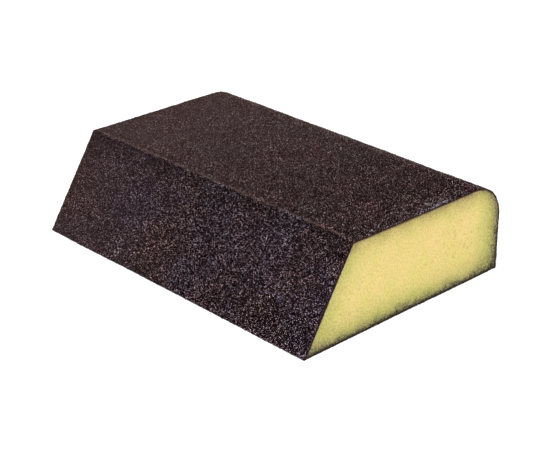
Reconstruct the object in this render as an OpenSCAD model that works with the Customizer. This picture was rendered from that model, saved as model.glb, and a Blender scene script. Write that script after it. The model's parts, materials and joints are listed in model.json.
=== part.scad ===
// Foam sanding block with one slanted side, coated with abrasive on its four long faces.
//
// X runs along the block from one cut foam end to the other, Y across it from the
// slanted side to the straight side, and Z up. The origin is the centre of the base,
// on the surface that the block lies on. All sizes are in millimetres.
//
// Every coated face has two layers on the foam: a film of flexible resin that bonds
// the grains, and the layer of grains itself. The top and base are coated first, as a
// sheet. The slant and the side are cut and coated next, so their layers lap over the
// cut edges of the top and base coats. The block is then cut to length, which is why
// both ends are bare foam framed by the edges of the coats.

/* [Block] */
// Overall length, between the two cut foam ends
block_length = 98; // [60:1:200]
// Overall width of the base, coats included
base_width = 70; // [60:1:120]
// Overall height, coats included
block_height = 25; // [18:1:35]
// Angle in degrees between the base and the slanted side
slant_angle = 58; // [50:1:85]
// Outer radius of the shoulder between the top and the straight side
shoulder_radius = 10; // [3:0.5:12]

/* [Coats] */
// Thickness of the resin film that bonds the grains to the foam
bond_thickness = 0.15; // [0.05:0.05:0.5]
// Thickness of the layer of abrasive grains
grit_thickness = 0.35; // [0.1:0.05:1]

/* [Hidden] */

$fn = 96;

foam_colour = [0.87, 0.80, 0.49];
bond_colour = [0.15, 0.11, 0.08];
grit_colour = [0.24, 0.19, 0.20];

// Depth of the foam below the outer surface
coat_thickness = bond_thickness + grit_thickness;

// Centre line of the shoulder's rounding, in the cross-section
shoulder_y = base_width / 2 - shoulder_radius;
shoulder_z = block_height - shoulder_radius;

// Y of the slanted plane at height z, moved inwards by depth along its normal
function slant_y(z, depth) =
    -base_width / 2 + z / tan(slant_angle) + depth / sin(slant_angle);

// Stretches a cross-section, drawn in Y and Z, along the whole block
module along_block() {
    rotate([90, 0, 90])
        linear_extrude(height = block_length, center = true)
            children();
}

// The upper right quarter of the shoulder's rounding, down to a depth
module shoulder_quarter(depth) {
    radius = shoulder_radius - depth;
    translate([shoulder_y, shoulder_z])
        intersection() {
            circle(r = radius);
            square([radius, radius]);
        }
}

// Layers between two depths below the outer surface, one module for each coated face.
// The top layer stops where the shoulder's rounding begins.
module top_section(outer, inner) {
    low = block_height - inner;
    high = block_height - outer;
    polygon([
        [slant_y(low, coat_thickness), low],
        [shoulder_y, low],
        [shoulder_y, high],
        [slant_y(high, coat_thickness), high]
    ]);
}

module base_section(outer, inner) {
    side_y = base_width / 2 - coat_thickness;
    polygon([
        [slant_y(outer, coat_thickness), outer],
        [side_y, outer],
        [side_y, inner],
        [slant_y(inner, coat_thickness), inner]
    ]);
}

// The slanted layer between two heights
module slant_section(outer, inner, low, high) {
    polygon([
        [slant_y(low, outer), low],
        [slant_y(low, inner), low],
        [slant_y(high, inner), high],
        [slant_y(high, outer), high]
    ]);
}

// The straight wall above a height and the rounded shoulder, coated in one pass
module side_section(outer, inner, low) {
    translate([base_width / 2 - inner, low])
        square([inner - outer, shoulder_z - low]);
    difference() {
        shoulder_quarter(outer);
        shoulder_quarter(inner);
    }
}

// The grains on the slant also close off its bond film's edges, at the toe and the crest,
// so the film and all that lies under it are cut out of a full-depth layer
module slant_grit_section() {
    difference() {
        slant_section(0, coat_thickness, 0, block_height);
        slant_section(grit_thickness, 2 * coat_thickness, grit_thickness, block_height - grit_thickness);
    }
}

// The grains on the side close off its bond film's edge at the base
module side_grit_section() {
    side_section(0, grit_thickness, 0);
    translate([base_width / 2 - coat_thickness, 0])
        square([bond_thickness, grit_thickness]);
}

// The foam inside all the coats
module foam_section() {
    side_y = base_width / 2 - coat_thickness;
    top_z = block_height - coat_thickness;
    polygon([
        [slant_y(coat_thickness, coat_thickness), coat_thickness],
        [side_y, coat_thickness],
        [side_y, shoulder_z],
        [shoulder_y, shoulder_z],
        [shoulder_y, top_z],
        [slant_y(top_z, coat_thickness), top_z]
    ]);
    shoulder_quarter(coat_thickness);
}

module foam_core() {
    color(foam_colour) along_block() foam_section();
}

module top_bond() {
    color(bond_colour) along_block() top_section(grit_thickness, coat_thickness);
}

module top_grit() {
    color(grit_colour) along_block() top_section(0, grit_thickness);
}

module base_bond() {
    color(bond_colour) along_block() base_section(grit_thickness, coat_thickness);
}

module base_grit() {
    color(grit_colour) along_block() base_section(0, grit_thickness);
}

module slant_bond() {
    color(bond_colour) along_block()
        slant_section(grit_thickness, coat_thickness, grit_thickness, block_height - grit_thickness);
}

module slant_grit() {
    color(grit_colour) along_block() slant_grit_section();
}

module side_bond() {
    color(bond_colour) along_block() side_section(grit_thickness, coat_thickness, grit_thickness);
}

module side_grit() {
    color(grit_colour) along_block() side_grit_section();
}

foam_core();
top_bond();
top_grit();
base_bond();
base_grit();
slant_bond();
slant_grit();
side_bond();
side_grit();
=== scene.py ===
"""The looks of a foam sanding block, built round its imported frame.

The four long faces are beds of separate angular grains on films of resin, and the two
ends are cut foam. The cross-section lies in Y and Z and runs along X. Shapes are worked
out in millimetres, and become metres when a mesh is made.
"""

import itertools
import json
import math
from types import SimpleNamespace

import bpy
import numpy as np
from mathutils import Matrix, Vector, geometry


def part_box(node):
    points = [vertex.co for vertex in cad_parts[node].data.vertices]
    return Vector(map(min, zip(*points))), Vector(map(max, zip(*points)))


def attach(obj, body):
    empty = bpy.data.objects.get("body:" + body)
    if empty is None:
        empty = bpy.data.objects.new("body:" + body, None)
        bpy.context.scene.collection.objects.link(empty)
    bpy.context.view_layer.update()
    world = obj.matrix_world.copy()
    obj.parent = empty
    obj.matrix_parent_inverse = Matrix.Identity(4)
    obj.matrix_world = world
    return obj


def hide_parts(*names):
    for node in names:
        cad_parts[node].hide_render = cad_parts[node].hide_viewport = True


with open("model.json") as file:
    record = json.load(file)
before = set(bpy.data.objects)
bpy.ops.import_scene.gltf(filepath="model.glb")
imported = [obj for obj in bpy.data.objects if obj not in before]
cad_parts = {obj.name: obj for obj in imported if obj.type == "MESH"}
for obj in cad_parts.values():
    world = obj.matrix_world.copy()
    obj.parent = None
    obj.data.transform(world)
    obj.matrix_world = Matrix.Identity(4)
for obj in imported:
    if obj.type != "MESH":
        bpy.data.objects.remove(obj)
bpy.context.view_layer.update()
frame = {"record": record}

MM = 0.001
BAKE_MAP = "OFBake"  # the name of each piece's bake map
BAKE_EDGE = 0.005  # how much of that map is left free along its edges

# Grains, in millimetres. They are further apart on the larger faces, which keeps every
# piece under the 200,000 triangles that the exporter takes as they are.
GRAIN_SPACING = 0.335
TOP_GRAIN_SPACING = 0.40
BASE_GRAIN_SPACING = 0.51
GRAIN_RELIEF = 0.29
GRAIN_LIFT = 0.10  # about how far the highest ordinary grains stand above the nominal face
BORDER_STEP = 0.21
END_BITE = 0.15  # how far the cut ends' edges are bitten away
NEAR_CUT_REACH = 0.35  # how far in from each cut end the browner grains go
FAR_CUT_REACH = 1.0
GLINT_REACH = 1.0  # how far in from the near cut end the painted glints on bright facets go

# Grains, as shares
TALL_SHARE = 0.05  # of the grains, the ones that stand higher
TALL_EXTRA = 0.35  # of the relief, how much higher they stand
OWN_TONE_SHARE = 0.9  # of the triangles, the ones with a tone of their own and not their grain's
TOP_JITTER = 0.30  # of the spacing, how far a grain's top strays
GAP_JITTER = 0.16  # of the spacing, how far a gap's low point strays
BORDER_JITTER = 0.25  # of the step, how far a border point strays
CUT_BROWN = 0.7  # how brown the hidden sides of a coat are

# Rounding of the coat's corners, in millimetres
CREST_ROUND = 0.45
TOE_ROUND = 0.10
HEEL_ROUND = 0.40

# Foam, in millimetres where nothing else is said
FOAM_STEP = 0.30
FOAM_ROUGHNESS = 0.035
FOAM_JITTER = 0.2  # of the step, how far a point of a cut end strays
RIM_RECESS = 0.08  # how far the cut end's edge draws back, and how far in from the edge
RIM_REACH = 0.9
PORE_COUNT = 190
PORE_RADIUS = 0.36
PORE_DEPTH = 0.14
CLUSTER_COUNT = 45  # how many of the pores lie together, and where
CLUSTER_PLACE = (21.0, 10.5)
CLUSTER_SPREAD = (5.5, 3.2)
BROWNED_REACH = 3.0  # how far down from the top the foam is browned
FOAM_ROUND = 0.15  # the rounding of the foam's corners, but for the crest and the shoulder
FOAM_CREST_ROUND = 0.2

# Resin films, in millimetres
FILM_STEP = 0.3
FILM_LIFT = 0.01  # how far a film reaches up into its grains
FILM_RECESS = 0.08  # how far back from the cut end its ragged edges may lie
RESIN_SOAK = {"top": 0.05, "side": 0.22, "base": 0.27, "slant": 0.14}  # how far into the foam

# The soft block's own unevenness, in millimetres
UNEVEN_SIZE = 17.0
UNEVEN_DEPTH = 0.14
REST_SINK = 0.06  # how far the grains may stand out below the nominal base


# ---------------------------------------------------------------- the cross-section


def read_section():
    """The block's driving sizes in millimetres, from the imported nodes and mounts."""
    mounts = {m["name"]: m for m in frame["record"]["mounts"]}
    _, out_y, out_z = mounts["slanted_side_face"]["axis"]
    core_low, core_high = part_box("foam_core")
    side_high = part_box("side_grit")[1]
    top_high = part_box("top_grit")[1]
    return SimpleNamespace(
        half_length=core_high.x / MM,
        half_width=side_high.y / MM,
        height=top_high.z / MM,
        grit=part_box("base_grit")[1].z / MM,
        coat=core_low.z / MM,
        shoulder_radius=(side_high.y - top_high.y) / MM,
        shoulder_y=top_high.y / MM,
        slant=math.atan2(-out_y, out_z),
    )


section = read_section()


def slant_y(z, depth):
    """Y of the slanted plane at height z, moved inwards by depth."""
    return -section.half_width + z / math.tan(section.slant) + depth / math.sin(section.slant)


class Outline:
    """A clockwise path in the cross-section, measured by its length s, with rounded corners.

    corners is a list of (y, z, radius). The block's outside is on the path's left.
    """

    def __init__(self, corners):
        places = [np.array(c[:2], float) for c in corners]
        self.parts = []
        self.corner_s = []
        self.length = 0.0
        here = places[0]
        radii = [c[2] for c in corners[1:]]
        for before, at, after, radius in zip(places, places[1:], places[2:], radii):
            way_in = (at - before) / np.linalg.norm(at - before)
            way_out = (after - at) / np.linalg.norm(after - at)
            turn = math.acos(np.clip(way_in @ way_out, -1, 1))
            trim = radius * math.tan(turn / 2)
            self._add(here, way_in, np.linalg.norm(at - way_in * trim - here), 0.0)
            self.corner_s.append(self.length + radius * turn / 2)
            self._add(at - way_in * trim, way_in, radius * turn, radius)
            here = at + way_out * trim
        way = (places[-1] - here) / np.linalg.norm(places[-1] - here)
        self._add(here, way, np.linalg.norm(places[-1] - here), 0.0)

    def _add(self, start, way, length, radius):
        self.parts.append((self.length, start, way, length, radius))
        self.length += length

    def place(self, s, h):
        """Y and Z of points at length s along the path and height h above it."""
        s = np.asarray(s, float)
        found = np.zeros((len(s), 2))
        last = len(self.parts) - 1
        for k, (begin, start, way, length, radius) in enumerate(self.parts):
            chosen = (s >= begin) | (k == 0)
            if k < last:
                chosen &= s < begin + length
            along = (s[chosen] - begin)[:, None]
            out = np.array([-way[1], way[0]])
            if radius:
                angle = along / radius
                normal = out * np.cos(angle) + way * np.sin(angle)
                point = start - out * radius + normal * radius
            else:
                normal = np.broadcast_to(out, (len(along), 2))
                point = start + way * along
            found[chosen] = point + normal * np.asarray(h)[chosen][:, None]
        return found


def coat_outlines():
    """The outer path of each coated face: the slant and the side lap round their edges."""
    block = section
    crest_in = (slant_y(block.height, block.coat), block.height, 0)
    toe_in = (slant_y(0, block.coat), 0, 0)
    shoulder = (block.shoulder_y, block.height, 0)
    heel_in = (block.half_width - block.coat, 0, 0)
    return {
        "top": Outline([crest_in, shoulder]),
        "side": Outline([
            shoulder,
            (block.half_width, block.height, block.shoulder_radius),
            (block.half_width, 0, HEEL_ROUND),
            heel_in,
        ]),
        "base": Outline([heel_in, toe_in]),
        "slant": Outline([
            toe_in,
            (-block.half_width, 0, TOE_ROUND),
            (slant_y(block.height, 0), block.height, CREST_ROUND),
            crest_in,
        ]),
    }


def film_outlines():
    """The outer path of each resin film, under the grains."""
    block = section
    high = block.height - block.grit
    shoulder = (block.shoulder_y, high, 0)
    heel = (block.half_width - block.grit, block.grit, 0)
    toe = (slant_y(block.grit, block.grit), block.grit, 0)
    crest = (slant_y(high, block.grit), high, 0)
    return {
        "top": Outline([(slant_y(high, block.coat), high, 0), shoulder]),
        "side": Outline([shoulder, (heel[0], high, block.shoulder_radius - block.grit), heel]),
        "base": Outline([heel, (slant_y(block.grit, block.coat), block.grit, 0)]),
        "slant": Outline([toe, crest]),
    }


# ---------------------------------------------------------------- noise and meshes

NOISE_CELLS = 8192
NOISE_STRIDES = np.array([1, 163, 1297])


def lattice_noise(points, size, seed):
    """Smooth noise from -1 to 1 at each point, with features about size across."""
    table = np.random.default_rng(seed).uniform(-1, 1, NOISE_CELLS)
    cells = points / size
    low = np.floor(cells).astype(int)
    part = cells - low
    part = part * part * (3 - 2 * part)
    dimensions = points.shape[1]
    total = np.zeros(len(points))
    for corner in itertools.product((0, 1), repeat=dimensions):
        weight = np.prod(np.where(corner, part, 1 - part), axis=1)
        key = (low + corner) @ NOISE_STRIDES[:dimensions]
        total += weight * table[key % NOISE_CELLS]
    return total


def settle(points):
    """Bends points with the whole soft block. Its base stays flat on what it rests on."""
    shifts = np.stack([lattice_noise(points, UNEVEN_SIZE, seed) for seed in (11, 12, 13)], 1)
    shifts[:, 2] *= np.clip(points[:, 2] / section.height, 0, 1)
    settled = points + shifts * UNEVEN_DEPTH
    settled[:, 2] = np.maximum(settled[:, 2], -REST_SINK)
    return settled


def triangulate(points, rim_count):
    """Triangles over flat points, inside the closed loop that the first rim_count make."""
    rim = [(k, (k + 1) % rim_count) for k in range(rim_count)]
    flat = [Vector(p) for p in points.tolist()]
    _, _, faces, sources, _, _ = geometry.delaunay_2d_cdt(flat, rim, [], 1, 1e-7)
    source = np.array([s[0] for s in sources])
    triangles = source[np.array(faces)]
    a, b, c = (points[triangles[:, k]] for k in range(3))
    turned = (b[:, 0] - a[:, 0]) * (c[:, 1] - a[:, 1]) < (b[:, 1] - a[:, 1]) * (c[:, 0] - a[:, 0])
    triangles[turned] = triangles[turned][:, ::-1]
    return triangles


def patch_map(flat, low, high, edge=BAKE_EDGE):
    """Flat points scaled into one row of the bake map, from low to high and from edge to edge."""
    start = flat.min(axis=(0, 1))
    size = np.maximum(flat.max(axis=(0, 1)) - start, 1e-9)
    return (flat - start) / size * (1 - 2 * edge, high - low) + (edge, low)


def strip(first, second, row=0):
    """Triangles between two rows of points, and their places in one row of an unrolled strip."""
    low = np.arange(len(first) - 1)
    triangles = np.concatenate([
        np.stack([first[:-1], first[1:], second[:-1]], 1),
        np.stack([first[1:], second[1:], second[:-1]], 1),
    ])
    turn = np.concatenate([np.stack([low, low + 1, low], 1), np.stack([low + 1, low + 1, low], 1)])
    level = np.repeat([[row, row, row + 1], [row, row + 1, row + 1]], len(low), axis=0)
    return triangles, np.stack([turn, level], -1).astype(float)


def closed(loop):
    """A loop of points with its first one repeated at its end."""
    return np.append(loop, loop[0])


def make_piece(name, points, patches, material, smooth, values=None):
    """A mesh piece. patches is a list of (triangles, their corners' places in the bake map)."""
    triangles = np.concatenate([p[0] for p in patches]).astype(np.int32)
    spots = np.concatenate([p[1] for p in patches]).astype(np.float32)
    count = len(triangles)
    mesh = bpy.data.meshes.new(name)
    mesh.vertices.add(len(points))
    mesh.vertices.foreach_set("co", (settle(points) * MM).astype(np.float32).ravel())
    mesh.loops.add(count * 3)
    mesh.loops.foreach_set("vertex_index", triangles.ravel())
    mesh.polygons.add(count)
    mesh.polygons.foreach_set("loop_start", np.arange(0, count * 3, 3, dtype=np.int32))
    mesh.polygons.foreach_set("use_smooth", np.full(count, smooth))
    mesh.update(calc_edges=True)
    layer = mesh.uv_layers.new(name=BAKE_MAP)
    layer.uv.foreach_set("vector", spots.ravel())
    for title, (domain, data) in (values or {}).items():
        attribute = mesh.attributes.new(title, "FLOAT", domain)
        attribute.data.foreach_set("value", data.astype(np.float32))
    mesh.materials.append(material)
    piece = bpy.data.objects.new(name, mesh)
    bpy.context.scene.collection.objects.link(piece)
    return piece


def stand_for(piece, node):
    """The piece rides on the block and takes the CAD node's place."""
    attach(piece, "root")
    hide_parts(node)


# ---------------------------------------------------------------- the beds of grains


def border_points(half_length, width, rng):
    """Points round a strip's edge, anticlockwise from its low corner, a little irregular."""
    sides = [
        ((-half_length, 0), (half_length, 0)),
        ((half_length, 0), (half_length, width)),
        ((half_length, width), (-half_length, width)),
        ((-half_length, width), (-half_length, 0)),
    ]
    runs = []
    for start, end in np.array(sides, float):
        count = max(2, round(np.linalg.norm(end - start) / BORDER_STEP))
        share = np.arange(count, dtype=float)
        share[1:] += rng.uniform(-BORDER_JITTER, BORDER_JITTER, count - 1)
        runs.append(start + (end - start) * (share / count)[:, None])
    return np.concatenate(runs)


def honeycomb(half_length, width, spacing, rng):
    """A loose honeycomb over a strip: the cells' centres, and the corners where they meet."""
    rise = spacing * math.sqrt(3) / 2
    rows, columns = int(width / rise) + 3, int(2 * half_length / spacing) + 3
    row, column = np.mgrid[0:rows, 0:columns]
    x = (column + 0.5 * (row % 2)) * spacing - half_length - spacing
    centres = np.stack([x, row * rise - rise], -1).reshape(-1, 2)
    reach = (0, spacing / math.sqrt(3))
    corners = np.concatenate([centres + reach, centres - reach])
    corners += rng.uniform(-GAP_JITTER, GAP_JITTER, corners.shape) * spacing
    centres = centres + rng.uniform(-TOP_JITTER, TOP_JITTER, centres.shape) * spacing
    return centres, corners


def inside(points, half_length, width, margin):
    """The points at least margin inside a strip."""
    from_middle = np.abs(points - (0, width / 2))
    clear = np.all(from_middle < np.array([half_length, width / 2]) - margin, axis=1)
    return points[clear]


def bands(s, places):
    """Soft bands along a strip, added together. places lists each (s, half width, height)."""
    total = np.zeros(len(s))
    for place, half_width, height in places:
        total += height * np.exp(-(((s - place) / half_width) ** 2))
    return total


def grain_heights(flat, rims, peaks, seed, rng):
    """How high flat points stand: the rim's first, then the grains' tops, then the gaps."""
    # shares of the relief, below the lift
    heights = np.concatenate([
        -rng.uniform(0.0, 0.55, rims),
        -rng.beta(1.5, 2.4, peaks - rims),
        -rng.uniform(0.72, 1.10, len(flat) - peaks),
    ])
    tall = rng.uniform(0, 1, len(flat)) < TALL_SHARE
    tall[peaks:] = False
    waves = 0.05 * lattice_noise(flat, 1.4, seed + 60) + 0.04 * lattice_noise(flat, 5.0, seed + 61)
    return GRAIN_RELIEF * (heights + TALL_EXTRA * tall) + GRAIN_LIFT + waves


def grain_bed(width, spacing, ridges, seed, rng):
    """The outside of a coat, laid flat: its points, how high they stand, and its triangles.

    The first rims points go round its edge. The grains' tops come next, up to peaks, and the
    rest are the gaps between grains. rim holds the edge's points as they were before the bite.
    """
    half = section.half_length
    rim = border_points(half, width, rng)
    centres, corners = honeycomb(half, width, spacing, rng)
    margin = END_BITE + 0.05  # keeps the grains clear of the bitten edge
    centres = inside(centres, half, width, margin)
    corners = inside(corners, half, width, margin)
    flat = np.concatenate([rim, centres, corners])
    rims, peaks = len(rim), len(rim) + len(centres)
    triangles = triangulate(flat, rims)
    height = grain_heights(flat, rims, peaks, seed, rng)
    # how high each point stands in the relief, which the material turns into painted shade in the gaps
    # between grains and painted light on their tops
    shade_by_height = np.clip(1 + (height - GRAIN_LIFT) / GRAIN_RELIEF, 0, 1.2)
    height += bands(flat[:, 1], ridges)
    at_end = np.abs(rim[:, 0]) > half - 1e-6
    flat[:rims, 0] -= np.sign(rim[:, 0]) * at_end * rng.uniform(0, END_BITE, rims)
    return SimpleNamespace(
        rim=rim, rims=rims, peaks=peaks, flat=flat, height=height, shade_by_height=shade_by_height, triangles=triangles,
    )


def grain_looks(bed, tints, glints, seed, rng):
    """What the grains' material reads for each triangle of the bed, by its name there.

    A triangle has its grain's tone or one of its own. Cut ends show brown grains, and some facets near
    the near cut end take painted glints.
    """
    count = len(bed.triangles)
    is_peak = (bed.triangles >= bed.rims) & (bed.triangles < bed.peaks)
    grain = np.where(is_peak, bed.triangles, 0).max(axis=1)
    own_tone = rng.uniform(0, 1, count) < OWN_TONE_SHARE
    tone = np.where(own_tone, rng.uniform(0, 1, count), rng.uniform(0, 1, len(bed.flat))[grain])
    gloss = rng.uniform(0, 1, count)
    middle = bed.flat[bed.triangles].mean(axis=1)
    patchy = np.clip(0.6 + 0.6 * lattice_noise(middle, 2.2, seed + 50), 0, 1)
    from_cut = section.half_length - np.abs(middle[:, 0])
    brown = np.exp(-from_cut / np.where(middle[:, 0] > 0, NEAR_CUT_REACH, FAR_CUT_REACH)) * patchy
    band = bands(middle[:, 1], tints)
    band = np.where(band > 0, band * patchy, band)
    # painted glints: some facets near the near cut end take a bright bluish colour for highlights
    near = np.exp((middle[:, 0] - section.half_length) / GLINT_REACH)
    glint = rng.uniform(0, 1, count) < bands(middle[:, 1], glints) * near
    return {
        "grain_tone": tone,
        "grain_gloss": gloss,
        "grain_band": band,
        "grain_brown": brown,
        "grain_painted_glint": glint,
    }


def underside(bed, width):
    """The coat's inner face: flat points and triangles of its rim round a coarse net."""
    half = section.half_length
    x, s = np.meshgrid(np.arange(-half + 2, half - 1, 2.0), np.arange(1, width - 0.6, 1.0))
    net = np.stack([x, s], -1).reshape(-1, 2)
    triangles = triangulate(np.concatenate([bed.rim, net]), bed.rims)[:, ::-1]
    return np.concatenate([bed.flat[:bed.rims], net]), triangles


def grain_coat(face, outline, material, seed, spacing=GRAIN_SPACING, ridges=(), tints=(), glints=()):
    """One coated face: a closed shell whose outside is a bed of angular grains.

    ridges are beads and grooves along the coat. tints are bands of paler or darker grains.
    glints are stretches of its near cut end where many facets take painted glints, a bright bluish
    colour for highlights.
    """
    rng = np.random.default_rng(seed)
    bed = grain_bed(outline.length, spacing, ridges, seed, rng)
    looks = grain_looks(bed, tints, glints, seed, rng)
    count = len(bed.flat)
    under_flat, under = underside(bed, outline.length)
    under = under + count
    walls, wall_spots = strip(closed(np.arange(bed.rims) + count), closed(np.arange(bed.rims)))

    along = np.concatenate([bed.flat, under_flat])
    depth = np.concatenate([bed.height, np.full(len(under_flat), -section.grit)])
    points = np.column_stack([along[:, 0], outline.place(along[:, 1], depth)])
    patches = [
        (bed.triangles, patch_map(bed.flat[bed.triangles], BAKE_EDGE, 0.86)),
        (walls, patch_map(wall_spots, 0.88, 0.93)),
        (under, patch_map(along[under], 0.95, 1 - BAKE_EDGE)),
    ]

    hidden = len(walls) + len(under)
    hidden_looks = {
        "grain_tone": rng.uniform(0, 0.7, hidden),
        "grain_gloss": np.ones(hidden),
        "grain_band": np.zeros(hidden),
        "grain_brown": np.full(hidden, CUT_BROWN),
        "grain_painted_glint": np.zeros(hidden),
    }
    # the relief share that the material turns into painted shade in the gaps and painted light on the
    # tops
    values = {"grain_painted_crevice_shade": ("POINT", np.concatenate([bed.shade_by_height, np.zeros(len(under_flat))]))}
    for title, outside in looks.items():
        values[title] = ("FACE", np.concatenate([outside, hidden_looks[title]]))
    piece = make_piece(face + "_grains", points, patches, material, False, values)
    stand_for(piece, face + "_grit")


# ---------------------------------------------------------------- the resin films


def resin_film(face, outline, seed, material):
    """A thin closed shell under the grains. Its inner edge has soaked unevenly into the foam."""
    rng = np.random.default_rng(seed)
    count = int(outline.length / FILM_STEP) + 2
    s = np.linspace(0, outline.length, count)
    thick = section.coat - section.grit
    outer = outline.place(s, np.full(count, FILM_LIFT))
    rings = []
    for sign in (1, -1):
        drift = np.clip(0.3 + lattice_noise(s[:, None], 0.6, seed + 70 + sign), 0, 1)
        soaked = RESIN_SOAK[face] * (0.6 * rng.beta(1.5, 3.0, count) + 0.6 * drift)
        inner = outline.place(s, -thick - soaked)
        x = sign * (section.half_length - rng.uniform(0.0, FILM_RECESS, (2, count)))
        rings.append(np.column_stack([x[0], outer]))
        rings.append(np.column_stack([x[1], inner]))
    points = np.concatenate(rings)
    near_outer, near_inner, far_outer, far_inner = (np.arange(count) + k * count for k in range(4))
    loop = [near_outer, far_outer, far_inner, near_inner, near_outer]
    strips = [strip(a, b, 2 * row) for row, (a, b) in enumerate(zip(loop, loop[1:]))]
    # one pair of triangles closes off each of the film's two long edges
    edges = []
    for end, way, shift in ((0, 1, 0), (-1, -1, 2)):
        outer_edge = np.array([near_outer[end], far_outer[end]])[::way]
        inner_edge = np.array([near_inner[end], far_inner[end]])[::way]
        triangles, spots = strip(outer_edge, inner_edge, 2 * len(strips))
        edges.append((triangles, spots + (shift, 0)))
    triangles = np.concatenate([t for t, _ in strips + edges])
    spots = np.concatenate([u for _, u in strips + edges])
    patches = [(triangles, patch_map(spots, 0.01, 0.99, edge=0.01))]
    piece = make_piece(face + "_resin_film", points, patches, material, False)
    stand_for(piece, face + "_bond")


# ---------------------------------------------------------------- the foam


def foam_outline():
    """The closed outline of the foam, from the middle of its base and back."""
    block = section
    high = block.height - block.coat
    return Outline([
        (0, block.coat, 0),
        (slant_y(block.coat, block.coat), block.coat, FOAM_ROUND),
        (slant_y(high, block.coat), high, FOAM_CREST_ROUND),
        (block.half_width - block.coat, high, block.shoulder_radius - block.coat),
        (block.half_width - block.coat, block.coat, FOAM_ROUND),
        (0, block.coat, 0),
    ])


def rim_distances(points):
    """How far flat points of the end are from the foam's base, its slant, and its top and side.

    The last number goes from 0 where the nearest of the top and side is the top to 1 at the side.
    """
    block = section
    y, z = points[:, 0], points[:, 1]
    base = z - block.coat
    slant = (y - slant_y(0, block.coat)) * math.sin(block.slant) - z * math.cos(block.slant)
    over = np.maximum(y - block.shoulder_y, 0)
    up = np.maximum(z - (block.height - block.shoulder_radius), 0)
    shoulder = block.shoulder_radius - block.coat - np.hypot(over, up)
    turned = np.arctan2(over, up + 1e-9) / (math.pi / 2)
    return base, slant, shoulder, turned


def top_warmth(points):
    """How browned the foam is: 1 under the top's coat and fading down from it."""
    _, _, shoulder, turned = rim_distances(points)
    return (1 - turned) * np.exp(-np.maximum(shoulder, 0) / BROWNED_REACH)


def rim_stain_and_shade(points, seed):
    """How dark the foam is towards its rim, partly with resin stain and partly with painted shade: 0 in
    its clean middle, near 1 at the base's edge.
    """
    base, slant, shoulder, turned = rim_distances(points)
    ragged = 0.35 * lattice_noise(points, 0.7, seed) + 0.45 * lattice_noise(points, 2.6, seed + 1)
    from_crest = np.clip((points[:, 0] - points[:, 0].min()) / section.half_width - 0.4, 0, 1)
    clean = np.ones(len(points))
    # each coat's resin stain and painted shade, by its greatest darkness and how far in it reaches
    for distance, most, reach in (
        (base, 0.97, 2.9),
        (shoulder, 0.40 + 0.26 * from_crest + 0.24 * turned, 2.2 + 1.5 * turned),
        (slant, 0.36, 3.6),
    ):
        inward = np.maximum(distance + ragged * np.minimum(1, distance), 0)
        clean *= 1 - most * np.exp(-inward / reach)
    return 1 - clean


def pore_depths(flat, low, high, seed, rng):
    """How deep in a pore each flat point of an end is, from 0 to 1."""
    pore = np.zeros(len(flat))
    sizes = PORE_RADIUS * rng.uniform(0.6, 1.3, PORE_COUNT)
    places = rng.uniform(low, high, (PORE_COUNT, 2))
    places[:CLUSTER_COUNT] = rng.normal(CLUSTER_PLACE, CLUSTER_SPREAD, (CLUSTER_COUNT, 2))
    depths = np.clip(0.4 + 0.8 * lattice_noise(places, 9.0, seed + 5), 0.1, 0.8)
    depths[:CLUSTER_COUNT] = rng.uniform(0.4, 1.0, CLUSTER_COUNT)
    for place, size, depth in zip(places, sizes, depths):
        away = np.hypot(*(flat - place).T)
        pore = np.maximum(pore, depth * np.clip(2.0 * (1 - away / size), 0, 1))
    return pore


def foam_end(outline, seed):
    """One cut end: its flat points and triangles, and each point's recess, its darkness from resin
    stain and painted shade, and its pore.
    """
    rng = np.random.default_rng(seed)
    rim_count = round(outline.length / FOAM_STEP)
    s = np.arange(rim_count) * outline.length / rim_count
    rim = outline.place(s, np.zeros(rim_count))
    low, high = rim.min(axis=0), rim.max(axis=0)
    step = np.array([FOAM_STEP, FOAM_STEP * math.sqrt(3) / 2])
    columns, rows = ((high - low) / step).astype(int) + 1
    row, column = np.mgrid[0:rows, 0:columns]
    grid = np.stack([column + 0.5 * (row % 2), row], -1).reshape(-1, 2) * step + low
    grid += rng.uniform(-FOAM_JITTER, FOAM_JITTER, grid.shape) * FOAM_STEP
    clear = np.min(rim_distances(grid)[:3], axis=0) > FOAM_STEP * 0.5
    flat = np.concatenate([rim, grid[clear]])
    triangles = triangulate(flat, rim_count)
    edge = np.min(rim_distances(flat)[:3], axis=0)
    recess = RIM_RECESS * np.exp(-np.maximum(edge, 0) / RIM_REACH)
    recess += FOAM_ROUGHNESS * rng.normal(0, 1, len(flat))
    recess += 0.05 * lattice_noise(flat, 2.4, seed + 2) + 0.10 * lattice_noise(flat, 11.0, seed + 3)
    pore = pore_depths(flat, low, high, seed, rng)
    recess += PORE_DEPTH * pore
    shade = rim_stain_and_shade(flat, seed + 4)
    return SimpleNamespace(
        flat=flat, triangles=triangles, recess=recess, shade=shade, pore=pore, rim_count=rim_count,
    )


def foam_block(material):
    """The foam: a closed solid whose two ends are cut, rough and stained at the rim."""
    outline = foam_outline()
    ends = [foam_end(outline, seed) for seed in (301, 302)]
    count = ends[0].rim_count
    far_start = len(ends[0].flat)
    points, patches = [], []
    for k, (sign, end) in enumerate(zip((1, -1), ends)):
        x = sign * (section.half_length - np.maximum(end.recess, 0.0))
        points.append(np.column_stack([x, end.flat]))
        faces = end.triangles[:, ::sign]
        low = BAKE_EDGE + 0.47 * k
        patches.append((faces + k * far_start, patch_map(end.flat[faces], low, low + 0.46)))
    sides, spots = strip(closed(np.arange(count)), closed(np.arange(count) + far_start))
    patches.append((sides, patch_map(spots, 0.95, 1 - BAKE_EDGE)))
    values = {
        "rim_stain_and_shade": ("POINT", np.concatenate([end.shade for end in ends])),
        "pore": ("POINT", np.concatenate([end.pore for end in ends])),
        "browned": ("POINT", np.concatenate([top_warmth(end.flat) for end in ends])),
    }
    piece = make_piece("foam_block", np.concatenate(points), patches, material, True, values)
    stand_for(piece, "foam_core")


# ---------------------------------------------------------------- materials


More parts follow.
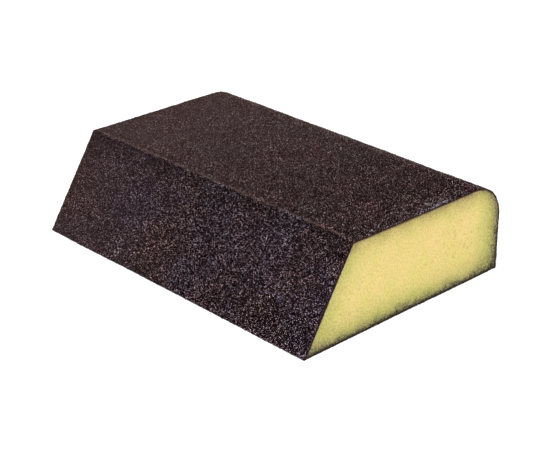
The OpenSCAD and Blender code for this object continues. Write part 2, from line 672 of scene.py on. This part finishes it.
class Nodes:
    """A new node material, with short ways to add nodes and to link them."""

    def __init__(self, name):
        self.material = bpy.data.materials.new(name)
        self.material.use_nodes = True
        self.tree = self.material.node_tree
        self.tree.nodes.clear()
        self.shader = self.add("ShaderNodeBsdfPrincipled")
        output = self.add("ShaderNodeOutputMaterial")
        self.link(self.shader.outputs["BSDF"], output.inputs["Surface"])
        self.place = self.add("ShaderNodeTexCoord").outputs["Object"]

    def add(self, kind, **settings):
        node = self.tree.nodes.new(kind)
        for key, value in settings.items():
            setattr(node, key, value)
        return node

    def link(self, source, target):
        self.tree.links.new(source, target)

    def noise(self, size_mm, detail=2.0, roughness=0.5, kind="ShaderNodeTexNoise"):
        """A texture whose features are about size_mm across."""
        node = self.add(kind)
        self.link(self.place, node.inputs["Vector"])
        node.inputs["Scale"].default_value = 1 / (size_mm * MM)
        if kind == "ShaderNodeTexNoise":
            node.inputs["Detail"].default_value = detail
            node.inputs["Roughness"].default_value = roughness
        return node

    def value(self, name):
        """A mesh attribute's number."""
        return self.add("ShaderNodeAttribute", attribute_name=name).outputs["Fac"]

    def along_block(self):
        """The place along the block, from 0 at its far end to 1 at its near end."""
        node = self.add("ShaderNodeSeparateXYZ")
        self.link(self.place, node.inputs["Vector"])
        half = section.half_length * MM
        return self.map(node.outputs["X"], -half, half, 0, 1)

    def ramp(self, source, stops):
        """source turned into colours, by (position, colour) stops."""
        node = self.add("ShaderNodeValToRGB")
        elements = node.color_ramp.elements
        while len(elements) < len(stops):
            elements.new(0.5)
        for element, (position, colour) in zip(elements, stops):
            element.position = position
            element.color = (*colour, 1)
        self.link(source, node.inputs["Fac"])
        return node.outputs["Color"]

    def map(self, source, low, high, to_low, to_high):
        """source from low to high turned into to_low to to_high, and held there beyond."""
        node = self.add("ShaderNodeMapRange")
        limits = {"From Min": low, "From Max": high, "To Min": to_low, "To Max": to_high}
        for key, number in limits.items():
            node.inputs[key].default_value = number
        self.link(source, node.inputs["Value"])
        return node.outputs["Result"]

    def mix(self, share, first, second, blend="MIX"):
        """Two colours mixed. Each is a socket or a colour."""
        node = self.add("ShaderNodeMix", data_type="RGBA", blend_type=blend)
        for key, given in ((0, share), (6, first), (7, second)):
            if isinstance(given, bpy.types.NodeSocket):
                self.link(given, node.inputs[key])
            elif key:
                node.inputs[key].default_value = (*given, 1)
            else:
                node.inputs[key].default_value = given
        return node.outputs[2]

    def maths(self, operation, first, second):
        node = self.add("ShaderNodeMath", operation=operation)
        self.link(first, node.inputs[0])
        self.link(second, node.inputs[1])
        return node.outputs["Value"]

    def grey(self, number):
        """A number as a colour."""
        node = self.add("ShaderNodeCombineColor")
        for socket in node.inputs:
            self.link(number, socket)
        return node.outputs["Color"]

    def bump(self, height, distance_mm, strength, normal=None):
        node = self.add("ShaderNodeBump")
        node.inputs["Strength"].default_value = strength
        node.inputs["Distance"].default_value = distance_mm * MM
        self.link(height, node.inputs["Height"])
        if normal is not None:
            self.link(normal, node.inputs["Normal"])
        return node.outputs["Normal"]

    def feed(self, **sockets):
        """Links sockets or sets numbers on the shader, by its inputs' names."""
        for key, given in sockets.items():
            target = self.shader.inputs[key.replace("_", " ")]
            if isinstance(given, bpy.types.NodeSocket):
                self.link(given, target)
            else:
                target.default_value = given
        return self.material


def grit_material(name, tint, pale_grain_and_glint, dusty, dust_reach):
    """Dark aluminium-oxide grains in brown size resin.

    tint is the two colours that the face leans to, in patches. The palest colour given is the
    brightest facets' colour, partly pale grains and partly painted glints. dusty is the colour of
    the fine dust that has settled from the far end on, as far as dust_reach, a share of the block's
    length.
    """
    n = Nodes(name)

    # each facet's own tone, with a finer speckle over it; the palest tones are partly pale grains and
    # partly painted glints
    speckle = n.map(n.noise(0.15, 1.0).outputs["Fac"], 0.3, 0.7, -0.42, 0.22)
    tone = n.maths("ADD", n.value("grain_tone"), speckle)
    mineral = n.ramp(tone, [
        (0.00, (0.003, 0.001, 0.001)),
        (0.40, (0.005, 0.001, 0.002)),
        (0.72, (0.019, 0.008, 0.009)),
        (0.87, (0.050, 0.029, 0.032)),
        (0.93, tuple(0.28 * c for c in pale_grain_and_glint)),
        (1.00, pale_grain_and_glint),
    ])
    # painted shade in the gaps between grains and painted light on their tops, by how high each point
    # stands
    crevice_shade_factor = n.map(n.value("grain_painted_crevice_shade"), 0.0, 0.8, 0.35, 1.25)
    mineral = n.mix(1.0, mineral, n.grey(crevice_shade_factor), "MULTIPLY")

    # the patches of the two tints, which the palest facets take less of
    broad = n.map(n.noise(17.0, 2.0).outputs["Fac"], 0.3, 0.7, 0.0, 1.0)
    fine = n.map(n.noise(1.3, 3.0, 0.7).outputs["Fac"], 0.3, 0.7, 0.0, 1.0)
    blotch = n.map(n.maths("ADD", broad, fine), 0.50, 1.50, 0.0, 1.0)
    leaning = n.mix(blotch, tint[0], tint[1])
    leaning = n.mix(n.map(tone, 0.80, 0.95, 0.0, 0.35), leaning, (1.0, 0.90, 0.98))
    colour = n.mix(1.0, mineral, leaning, "MULTIPLY")

    # the dust, which is thickest at the far end and softens the grains' contrast
    thinning = n.map(n.along_block(), 0, dust_reach, 0.52, 0.0)
    dust = n.maths("MULTIPLY", thinning, n.map(blotch, 0, 1, 0.7, 1.0))
    colour = n.mix(dust, colour, dusty)

    # paler bands, darker bands (below the slant's crest these are painted shade), browner cut ends and
    # painted glints on bright facets
    colour = n.mix(n.map(n.value("grain_band"), 0, 1, 0, 0.6), colour, (0.130, 0.085, 0.078))
    colour = n.mix(1.0, colour, n.grey(n.map(n.value("grain_band"), -1, 0, 0.2, 1.0)), "MULTIPLY")
    colour = n.mix(n.map(n.value("grain_brown"), 0, 1, 0, 0.95), colour, (0.034, 0.014, 0.006))
    colour = n.mix(n.value("grain_painted_glint"), colour, (0.40, 0.37, 0.44))

    rough = n.map(n.value("grain_gloss"), 0, 1, 0.10, 0.55)
    chips = n.bump(n.noise(0.11, 2.0, 0.6).outputs["Fac"], 0.05, 0.6)
    shine = (1.0, 0.72, 0.80, 1.0)
    return n.feed(Base_Color=colour, Roughness=rough, IOR=1.14, Specular_Tint=shine, Normal=chips)


def resin_material(name, strength):
    """Brown resin. strength is how pale it is: a thin film shows more of the foam."""
    n = Nodes(name)
    stain = n.noise(0.5, 3.0, 0.6).outputs["Fac"]
    colour = n.ramp(stain, [
        (0.30, tuple(strength * c for c in (0.010, 0.005, 0.002))),
        (0.55, tuple(strength * c for c in (0.028, 0.017, 0.007))),
        (0.80, tuple(strength * c for c in (0.065, 0.044, 0.018))),
    ])
    rough = n.map(stain, 0.3, 0.7, 0.45, 0.75)
    ripples = n.bump(n.noise(0.25).outputs["Fac"], 0.06, 0.5)
    return n.feed(Base_Color=colour, Roughness=rough, IOR=1.3, Normal=ripples)


def foam_material():
    """Fine-celled yellow foam, greener and then dark towards its rim, partly with resin and partly with
    painted shade.
    """
    n = Nodes("cut_foam")
    cells = n.noise(0.48, 3.0, 0.65).outputs["Fac"]
    # the rim's darkness is partly resin stain and partly painted shade
    stain = n.maths("MULTIPLY", n.value("rim_stain_and_shade"), n.map(cells, 0.35, 0.65, 1.24, 0.80))
    stained = n.ramp(stain, [
        (0.00, (0.848, 0.676, 0.259)),
        (0.08, (0.778, 0.665, 0.234)),
        (0.20, (0.663, 0.588, 0.198)),
        (0.40, (0.500, 0.466, 0.148)),
        (0.64, (0.305, 0.283, 0.114)),
        (0.84, (0.136, 0.122, 0.061)),
        (1.00, (0.020, 0.016, 0.009)),
    ])
    clouds = n.noise(8.0, 3.0, 0.5).outputs["Fac"]
    speckle = n.ramp(cells, [(0.30, (0.80, 0.78, 0.68)), (0.58, (1.0, 1.0, 1.0))])
    warmth = n.ramp(clouds, [(0.34, (0.945, 0.985, 0.91)), (0.64, (1.015, 0.978, 1.07))])
    spots = n.noise(1.6, 2.0).outputs["Fac"]
    mottle = n.ramp(spots, [(0.36, (0.995, 0.975, 0.955)), (0.64, (1.0, 1.0, 1.015))])
    colour = n.mix(1.0, stained, speckle, "MULTIPLY")
    colour = n.mix(1.0, colour, mottle, "MULTIPLY")
    colour = n.mix(1.0, colour, warmth, "MULTIPLY")
    colour = n.mix(n.value("browned"), colour, n.mix(1.0, colour, (1.06, 0.93, 1.0), "MULTIPLY"))
    # painted shade: the pores' pits are darker and browner
    colour = n.mix(n.map(n.value("pore"), 0, 1, 0, 0.75), colour, (0.50, 0.31, 0.10))
    walls = n.noise(0.33, kind="ShaderNodeTexVoronoi").outputs["Distance"]
    relief = n.bump(walls, 0.10, 0.35)
    relief = n.bump(cells, 0.10, 0.35, relief)
    rough = n.map(cells, 0.3, 0.7, 0.95, 0.80)
    return n.feed(Base_Color=colour, Roughness=rough, IOR=1.35, Normal=relief)


# ---------------------------------------------------------------- floor, lights and camera

FLOOR_SIZE = 40.0  # metres
FLOOR_DROP = 0.08  # millimetres below the nominal base, just clear of its grains

# The room's light: full at the horizon, and dim from a height in degrees up
HORIZON_TOP = 5.0
DIM_ABOVE = 11.0
HORIZON_STRENGTH = 1.0
ROOM_STRENGTH = 0.10

SUN_STRENGTH = 3.6
SUN_SPREAD = 37.0  # degrees
SUN_WAY = (-0.25, 0.08, -1.25)


def make_floor():
    bpy.ops.mesh.primitive_plane_add(size=FLOOR_SIZE, location=(0, 0, -FLOOR_DROP * MM))
    floor = bpy.context.object
    floor.name = "studio_floor"
    n = Nodes("studio_floor")
    cloud = n.noise(400.0).outputs["Fac"]
    colour = n.ramp(cloud, [(0.3, (0.90, 0.90, 0.90)), (0.7, (0.93, 0.93, 0.93))])
    floor.data.materials.append(n.feed(Base_Color=colour, Roughness=0.8, IOR=1.3))


def area_light(name, place, size, power, colour=(1, 1, 1)):
    """A soft light at place, aimed at the middle of the block."""
    data = bpy.data.lights.new(name, "AREA")
    data.shape = "DISK"
    data.size = size
    data.energy = power
    data.color = colour
    light = bpy.data.objects.new(name, data)
    light.location = place
    aim = Vector((0, 0, section.height / 2 * MM)) - light.location
    light.rotation_euler = aim.to_track_quat("-Z", "Y").to_euler()
    bpy.context.scene.collection.objects.link(light)


def make_world():
    """A dim room whose low horizon is as pale as the floor, so that low views end in white."""
    world = bpy.data.worlds.new("studio")
    world.use_nodes = True
    tree = world.node_tree
    coordinates = tree.nodes.new("ShaderNodeTexCoord")
    split = tree.nodes.new("ShaderNodeSeparateXYZ")
    fade = tree.nodes.new("ShaderNodeMapRange")
    background = tree.nodes["Background"]
    tree.links.new(coordinates.outputs["Generated"], split.inputs["Vector"])
    tree.links.new(split.outputs["Z"], fade.inputs["Value"])
    tree.links.new(fade.outputs["Result"], background.inputs["Strength"])
    for key, number in (
        ("From Min", math.sin(math.radians(HORIZON_TOP))),
        ("From Max", math.sin(math.radians(DIM_ABOVE))),
        ("To Min", HORIZON_STRENGTH),
        ("To Max", ROOM_STRENGTH),
    ):
        fade.inputs[key].default_value = number
    background.inputs["Color"].default_value = (1.0, 1.0, 1.0, 1)
    bpy.context.scene.world = world


def make_lights():
    """A broad sun from above, a weak fill on the slant, and a small lamp for the glitter."""
    data = bpy.data.lights.new("overhead", "SUN")
    data.energy = SUN_STRENGTH
    data.angle = math.radians(SUN_SPREAD)
    sun = bpy.data.objects.new("overhead", data)
    sun.rotation_euler = Vector(SUN_WAY).to_track_quat("-Z", "Y").to_euler()
    bpy.context.scene.collection.objects.link(sun)
    area_light("slant_fill", place=(-0.45, -0.50, 0.25), size=0.12, power=1.0, colour=(0.95, 0.92, 1.0))
    area_light("sparkle", place=(0.25, -0.35, 0.80), size=0.08, power=2.0)


CAMERA_AZIMUTH = 46.527
CAMERA_ELEVATION = 24.888
CAMERA_DISTANCE = 3.5267  # this and the two offsets are in block lengths
CAMERA_RIGHT = -0.0665
CAMERA_UP = 0.3196
CAMERA_LENS = 98.32  # this and the sensor are in millimetres
CAMERA_SENSOR = 36.0


def make_camera():
    """The camera, placed from the near corner of the slant's toe."""
    length = 2 * section.half_length * MM
    azimuth, elevation = math.radians(CAMERA_AZIMUTH), math.radians(CAMERA_ELEVATION)
    back = Vector((
        math.sin(azimuth) * math.cos(elevation),
        -math.cos(azimuth) * math.cos(elevation),
        math.sin(elevation),
    ))
    right = Vector((0, 0, 1)).cross(back).normalized()
    up = back.cross(right)
    toe = Vector((section.half_length * MM, -section.half_width * MM, 0))
    data = bpy.data.cameras.new("camera")
    data.lens = CAMERA_LENS
    data.sensor_width = CAMERA_SENSOR
    camera = bpy.data.objects.new("camera", data)
    camera.location = toe + length * (CAMERA_RIGHT * right + CAMERA_UP * up + CAMERA_DISTANCE * back)
    camera.rotation_euler = (-back).to_track_quat("-Z", "Y").to_euler()
    bpy.context.scene.collection.objects.link(camera)
    bpy.context.scene.camera = camera


# ---------------------------------------------------------------- the block

foam_block(foam_material())

thin_resin = resin_material("thin_resin", 6.0)
thick_resin = resin_material("thick_resin", 1.0)
for k, (face, outline) in enumerate(film_outlines().items()):
    resin_film(face, outline, 201 + k, thin_resin if face == "top" else thick_resin)

grit_warm = grit_material(
    "grit_warm",
    tint=((1.38, 1.04, 0.94), (1.08, 1.18, 1.06)),
    pale_grain_and_glint=(0.58, 0.51, 0.50),
    dusty=(0.065, 0.040, 0.038),
    dust_reach=0.90,
)
grit_violet = grit_material(
    "grit_violet",
    tint=((1.15, 0.78, 0.66), (0.86, 0.78, 1.09)),
    pale_grain_and_glint=(1.19, 1.08, 1.10),
    dusty=(0.045, 0.026, 0.027),
    dust_reach=0.52,
)

coats = coat_outlines()
toe, crest = coats["slant"].corner_s
heel = coats["side"].corner_s[1]
grain_coat(
    "top", coats["top"], grit_warm, 101,
    spacing=TOP_GRAIN_SPACING,
    ridges=[(0.7, 0.45, 0.08)],
    tints=[(0.65, 0.35, 1.0), (2.3, 1.2, -0.14)],
    # painted glints along the top's near cut end
    glints=[(14.0, 12.0, 0.10), (29.0, 6.0, 0.38)],
)
grain_coat(
    "side", coats["side"], grit_warm, 102,
    ridges=[(heel, 0.35, 0.10)],
    tints=[(4.5, 4.5, 0.30)],
)
grain_coat("base", coats["base"], grit_violet, 103, spacing=BASE_GRAIN_SPACING)
grain_coat(
    "slant", coats["slant"], grit_violet, 104,
    ridges=[(toe, 0.30, 0.14), (crest + 0.05, 0.30, 0.06), (crest - 0.85, 0.30, -0.06)],
    # the two darker bands are painted shade below the crest
    tints=[(crest - 0.1, 0.7, -0.42), (crest - 2.0, 2.6, -0.34)],
)

make_floor()
make_world()
make_lights()
make_camera()
bpy.context.scene.view_settings.view_transform = "Standard"
